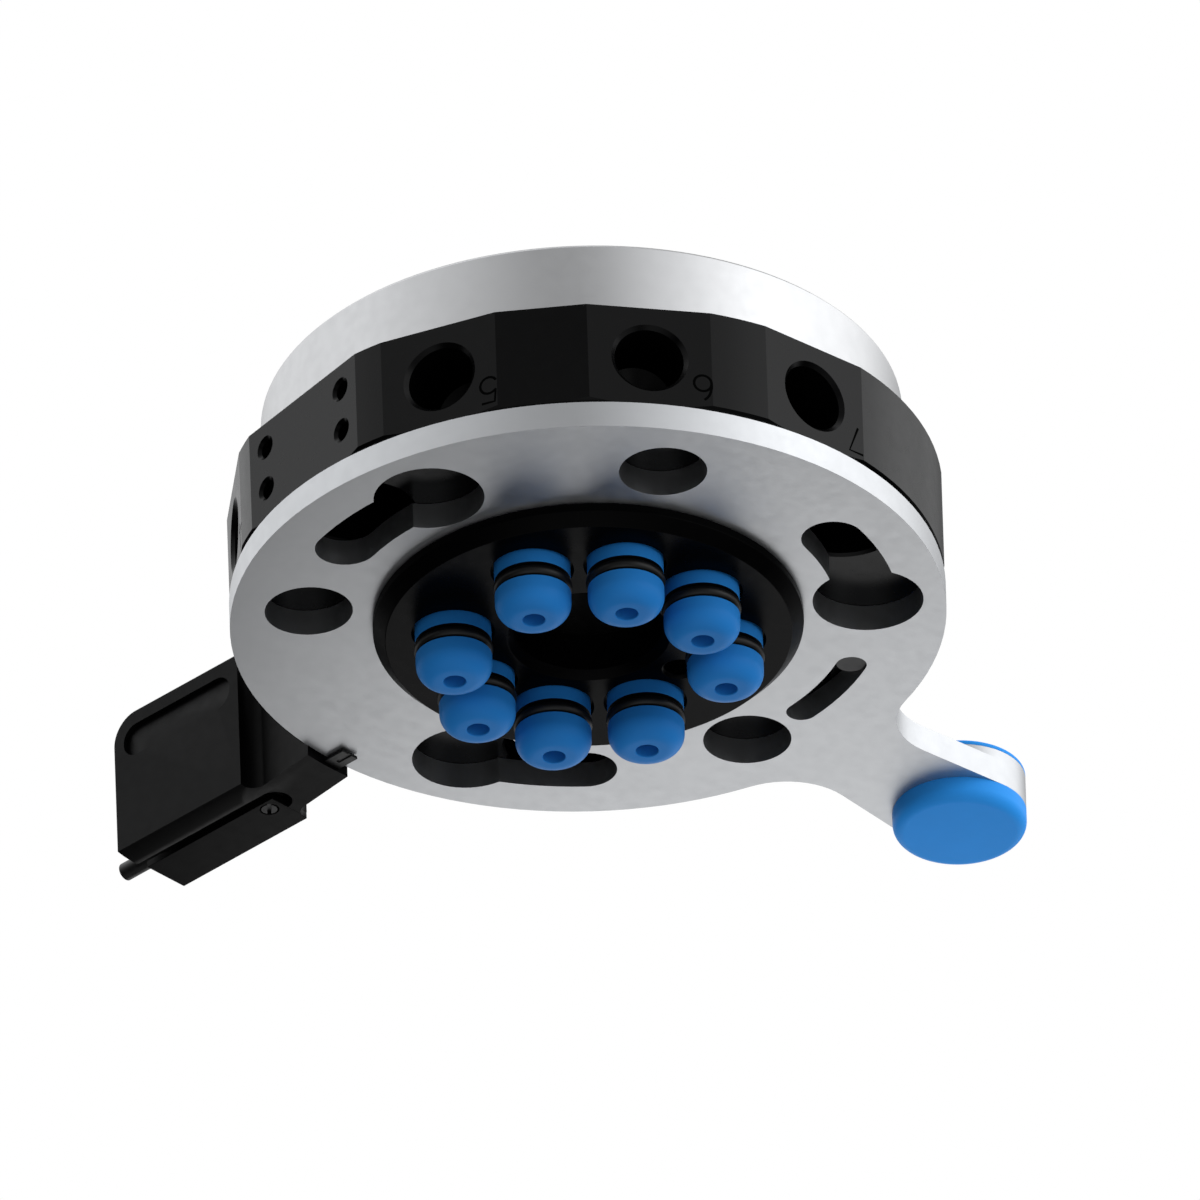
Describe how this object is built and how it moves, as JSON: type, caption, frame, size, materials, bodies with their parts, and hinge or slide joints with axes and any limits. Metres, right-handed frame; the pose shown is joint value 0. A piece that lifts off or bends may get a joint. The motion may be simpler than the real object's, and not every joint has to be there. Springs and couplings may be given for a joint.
{
  "type": "robotic tool changer",
  "caption": "Robot side of a hand-locked tool changer: adapter, ported body, air nipples, sensor housing and a lever ring that locks the tool's studs.",
  "frame": {"origin": "centre of the robot mounting face on the adapter, on the tool axis", "axes": "+Z along the tool axis towards the robot, the tool side faces -Z; +X through the hub's index hole, midway in the lever's swing; the accessory flat faces -X"},
  "size_m": [0.1585, 0.1688, 0.0586],
  "materials": {
    "plain_aluminium": "satin, clear anodised",
    "black_anodised": "satin, black anodised",
    "steel": "ground",
    "black_steel": "black oxide",
    "blue_plastic": "satin moulded",
    "black_plastic": "fine matte texture",
    "rubber": "satin"
  },
  "bodies": {
    "master": {"robot_adapter": "plain_aluminium", "locating_dowels": "steel", "main_body": "black_anodised", "body_screws": "black_steel", "hub": "black_anodised", "hub_screws": "black_steel", "port_seals": "rubber", "stop_pin": "steel", "detent_sleeve": "black_steel", "detent_ball": "steel", "detent_spring": "steel", "nipple_1": "blue_plastic", "nipple_2": "blue_plastic", "nipple_3": "blue_plastic", "nipple_4": "blue_plastic", "nipple_5": "blue_plastic", "nipple_6": "blue_plastic", "nipple_7": "blue_plastic", "nipple_8": "blue_plastic", "o_ring_1": "rubber", "o_ring_2": "rubber", "o_ring_3": "rubber", "o_ring_4": "rubber", "o_ring_5": "rubber", "o_ring_6": "rubber", "o_ring_7": "rubber", "o_ring_8": "rubber", "sensor_housing": "black_plastic", "sensor_housing_screws": "black_steel", "lock_sensor": "black_plastic", "cover_plate": "black_plastic", "cover_screw": "steel"},
    "lock_ring": {"lock_ring": "plain_aluminium", "knob_cap": "blue_plastic", "knob_disc": "blue_plastic", "knob_screw": "steel"}
  },
  "joints": [
    {"name": "lock_ring_turn", "type": "hinge", "parent": "master", "child": "lock_ring", "pos_m": [0, 0, -0.03785], "axis": [0, 0, -1], "range_deg": [0, 20]}
  ]
}
